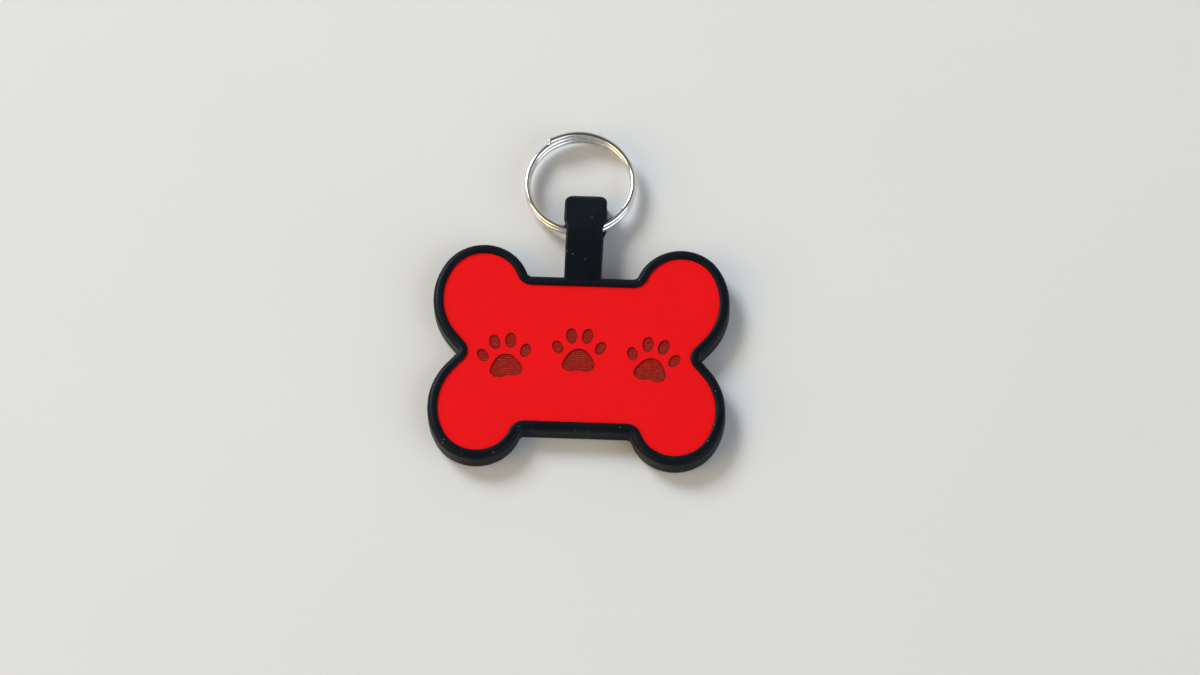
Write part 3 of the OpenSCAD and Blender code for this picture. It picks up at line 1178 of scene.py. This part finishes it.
@dataclass(frozen=True)
class SplitRing:
    """Spring steel wire wound a little over twice, with its climb between two flat runs."""

    hinge: Vector
    yaw: float
    floor_z: float
    shank_w: float
    outside_d: float = 19.96 * MM
    wire_d: float = 1.1 * MM
    strand_gap: float = 0.06 * MM
    start: float = math.radians(52)
    end: float = math.radians(840)
    climb_start: float = math.radians(8)
    climb_end: float = math.radians(120)
    bearing: float = math.radians(270)
    end_spring: float = 0.17 * MM
    end_spring_l: float = 3 * MM
    end_bevel: float = 0.16 * MM
    end_steps: int = 3
    steps: int = 300
    sides: int = 24
    sharp: float = 60.0
    grain_rate: float = 0.02 / MM

    @property
    def radius(self) -> float:
        """Radius of the wire's own line."""
        return (self.outside_d - self.wire_d) / 2

    @property
    def pitch(self) -> float:
        """Distance between the middles of two strands."""
        return self.wire_d + self.strand_gap

    @property
    def reach(self) -> float:
        """Distance from the hinge line to the ring's centre."""
        sag = self.radius - math.sqrt(self.radius**2 - (self.shank_w / 2) ** 2)
        return self.radius - sag / 2

    @property
    def angles(self) -> list[float]:
        """The angles of the wire's sections, from end to end."""
        turn = (self.end - self.start) / self.steps
        return [self.start + turn * i for i in range(self.steps + 1)]

    def climb(self, angle: float) -> float:
        """Finds how far the wire has climbed.

        Args:
            angle: the place along the wire, in radians.

        Returns:
            The climb there.
        """
        turns = math.floor((angle - self.climb_start) / math.tau)
        part = angle - self.climb_start - math.tau * turns
        return self.pitch * (turns + smooth_step(part / (self.climb_end - self.climb_start)))

    def height(self, angle: float) -> float:
        """Returns the wire's height at an angle; the two strands at the strap lie about zero."""
        middle = (self.climb(self.bearing) + self.climb(self.bearing + math.tau)) / 2
        return self.climb(angle) - middle

    def sprung(self, angle: float) -> float:
        """Returns how far the wire springs outwards at an angle, near its cut ends."""
        to_end = min(angle - self.start, self.end - angle) * self.radius
        return self.end_spring * max(0.0, 1 - to_end / self.end_spring_l) ** 2

    def lean(self) -> float:
        """Returns the lean that brings the far strands down to the floor."""
        leans = []
        for angle in self.angles:
            across = (self.radius + self.sprung(angle)) * math.sin(angle)
            if across > 0:
                point = Vector((across + self.reach, self.height(angle)))
                drop = math.asin((self.hinge.z - self.wire_d / 2 - self.floor_z) / point.length)
                leans.append(drop + math.atan2(point.y, point.x))
        return min(leans)

    def wind(self, bm: BMesh) -> list[list[BMVert | BMEdge]]:
        """Winds the wire as an open tube that lies flat about the origin.

        Args:
            bm: the ring's mesh, still empty.

        Returns:
            The points and edges of each section along the wire.
        """
        stand = Matrix.Rotation(self.start, 4, "Z")
        stand = stand @ Matrix.Translation((self.radius, 0, self.height(self.start)))
        stand = stand @ Matrix.Rotation(QUARTER, 4, "X")
        bmesh.ops.create_circle(bm, segments=self.sides, radius=self.wire_d / 2, matrix=stand)
        sections = [bm.verts[:] + bm.edges[:]]
        for angle, next_angle in pairwise(self.angles):
            rise = Z_AXIS * (self.height(next_angle) - self.height(angle))
            turned = bmesh.ops.spin(
                bm, geom=sections[-1], axis=Z_AXIS, angle=next_angle - angle, steps=1, dvec=rise
            )
            sections.append(turned["geom_last"])
        return sections

    def spring(self, bm: BMesh, sections: list[list[BMVert | BMEdge]], grain: BMLayerItem) -> None:
        """Springs the ends outwards and marks each point's place along and round the wire.

        Args:
            bm: the ring's mesh.
            sections: the points and edges of each section along the wire.
            grain: the layer that the plating's drawn lines read.
        """
        for angle, section in zip(self.angles, sections):
            out = on_circle(Vector(), 1, angle)
            middle = out * self.radius + Z_AXIS * self.height(angle)
            verts = [g for g in section if isinstance(g, BMVert)]
            for v in verts:
                around = (v.co - middle) / (self.wire_d / 2)
                v[grain] = (around.dot(out), around.z, angle * self.radius * self.grain_rate)
            bmesh.ops.translate(bm, verts=verts, vec=out * self.sprung(angle))

    def close(self, bm: BMesh, sections: list[list[BMVert | BMEdge]]) -> None:
        """Closes both ends of the tube and bevels them.

        Args:
            bm: the ring's mesh.
            sections: the points and edges of each section along the wire.
        """
        rims = []
        for section in (sections[0], sections[-1]):
            edges = [g for g in section if isinstance(g, BMEdge)]
            rims += bmesh.ops.contextual_create(bm, geom=edges)["faces"][0].edges[:]
        bevel(bm, rims, self.end_bevel, self.end_steps)

    def build(self) -> Object:
        """Builds, dresses and places the piece.

        Returns:
            The piece, riding on the ring.
        """
        bm = bmesh.new()
        grain = bm.verts.layers.float_vector.new("drawn")
        sections = self.wind(bm)
        self.spring(bm, sections, grain)
        self.close(bm, sections)
        place = Matrix.Translation(self.hinge) @ Matrix.Rotation(self.yaw, 4, "Z")
        place = place @ Matrix.Rotation(-self.lean(), 4, "X") @ Matrix.Translation((0, self.reach, 0))
        bmesh.ops.transform(bm, matrix=place, verts=bm.verts[:])
        piece = finished_mesh(bm, "split_ring_wire", self.sharp)
        piece.data.materials.append(NickelPlate().build())
        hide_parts("split_ring")
        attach(piece, "ring")
        return piece


# Studio


@dataclass(frozen=True)
class Lamp:
    """A square soft lamp that looks at the tag."""

    name: str
    place: tuple[float, float, float]
    size: float
    power: float
    colour: Colour

    def build(self, target: Vector) -> None:
        """Hangs the lamp.

        Args:
            target: the point that it looks at.
        """
        data = bpy.data.lights.new(self.name, "AREA")
        data.shape = "SQUARE"
        data.size = self.size
        data.energy = self.power
        data.color = self.colour
        lamp = bpy.data.objects.new(self.name, data)
        lamp.location = self.place
        lamp.rotation_euler = (target - lamp.location).to_track_quat("-Z", "Y").to_euler()
        bpy.context.scene.collection.objects.link(lamp)


@dataclass(frozen=True)
class Viewpoint:
    """The photograph's view: how the camera stands to the face, and how large it sees it."""

    pitch: float = math.radians(24.4)
    turn: float = math.radians(5.0)
    roll: float = math.radians(2.26)
    distance: float = 1250 * MM
    near_clip: float = 10 * MM
    pixels_per_m: float = 5690
    across: float = 3.73 * MM
    above: float = 2.90 * MM
    frame_px: float = 1200
    sensor: float = 36

    def build(self, target: Vector) -> None:
        """Places the camera.

        Args:
            target: the point of the face that the fit was made for.
        """
        near = Vector((math.sin(self.turn), -math.cos(self.turn), 0))
        side = Vector((math.cos(self.turn), math.sin(self.turn), 0))
        back = near * math.sin(self.pitch) + Z_AXIS * math.cos(self.pitch)
        down = near * math.cos(self.pitch) - Z_AXIS * math.sin(self.pitch)
        x_seen = side * side.x + down * near.x
        y_seen = side * side.y + down * near.y
        right = x_seen * math.cos(self.roll) + y_seen * math.sin(self.roll)
        up = y_seen * math.cos(self.roll) - x_seen * math.sin(self.roll)
        data = bpy.data.cameras.new("camera")
        data.sensor_width = self.sensor
        data.lens = self.pixels_per_m * self.distance * self.sensor / self.frame_px
        data.clip_start = self.near_clip
        camera = bpy.data.objects.new("camera", data)
        stand = Matrix((right, up, back)).transposed().to_4x4()
        stand.translation = target + back * self.distance + right * self.across + up * self.above
        camera.matrix_world = stand
        bpy.context.scene.collection.objects.link(camera)
        bpy.context.scene.camera = camera


@dataclass(frozen=True)
class Studio:
    """Pale floor, surroundings that darken overhead, and three soft lamps."""

    horizon: Colour = (0.72, 0.72, 0.72)
    zenith: Colour = (0.05, 0.05, 0.055)
    floor_size: float = 6.0
    floor_drop: float = 0.02 * MM
    lamps: tuple[Lamp, ...] = (
        Lamp("window_left", (-1.10, 1.10, 1.20), 0.80, 30.5, (0.85, 0.93, 1.0)),
        Lamp("room_left", (-1.60, -0.60, 1.10), 1.60, 18.5, (1.0, 0.70, 0.32)),
        Lamp("window_right", (1.44, -0.84, 1.04), 1.80, 15.5, (0.76, 0.89, 1.0)),
    )

    def surroundings(self) -> World:
        """Returns the world: as pale as the floor at the horizon, and darker towards the zenith."""
        world = bpy.data.worlds.new("surroundings")
        made = Shades(world, "Generated")
        height = made.node("SeparateXYZ", Vector=made.place).outputs["Z"]
        sky = made.mix(height, self.horizon, self.zenith)
        made.feed(made.tree.nodes["Background"].inputs["Color"], sky)
        return world

    def build(self, target: Vector) -> None:
        """Lights the scene and lays the floor.

        Args:
            target: the point that the lamps look at.
        """
        bpy.context.scene.view_settings.view_transform = "Standard"
        bpy.context.scene.world = self.surroundings()
        for lamp in self.lamps:
            lamp.build(target)
        bm = bmesh.new()
        bmesh.ops.create_grid(bm, x_segments=2, y_segments=2, size=self.floor_size / 2)
        bmesh.ops.translate(bm, verts=bm.verts[:], vec=Z_AXIS * -self.floor_drop)
        floor = finished_mesh(bm, "floor")
        floor.data.materials.append(PaleFloor().build())


def report(piece: Object) -> None:
    """Logs a piece's faces and its size."""
    size = ", ".join(f"{d / MM:.2f}" for d in piece.dimensions)
    log.info("%s: %d faces, %s mm", piece.name, len(piece.data.polygons), size)


def main() -> None:
    """Builds the tag's pieces and the studio round them."""
    logging.basicConfig(level=logging.INFO, format="%(name)s: %(message)s")
    body_low, body_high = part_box("silicone_body")
    face_low, face_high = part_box("face_inlay")
    ring_low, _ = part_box("split_ring")
    joint = frame["joints"][0]
    target = Vector((0, 0, face_high.z))
    Viewpoint().build(target)

    outline = BoneOutline(length=2 * face_high.x, width=2 * face_high.y)
    rim_w = min(body_high.x - face_high.x, face_low.y - body_low.y)
    crest_z = face_high.z + RIM_RISE
    strap = StrapLoop(
        height=body_high.z, body_edge_y=outline.mid_width / 2 + rim_w, rim_z=crest_z - STRAP_DROP
    )
    body = SiliconeBody(
        outline, strap, rim_w, crest_z=crest_z, face_z=face_high.z, tray_z=face_low.z
    )
    face = RedFace(outline=outline, tray_z=face_low.z, top_z=face_high.z)
    ring = SplitRing(
        hinge=Vector(joint["pos_m"]),
        yaw=math.atan2(joint["axis"][1], joint["axis"][0]),
        floor_z=ring_low.z,
        shank_w=strap.shank_w,
    )
    for maker in (body, face, ring):
        report(maker.build())
    Studio().build(target)


if __name__ == "__main__":
    main()
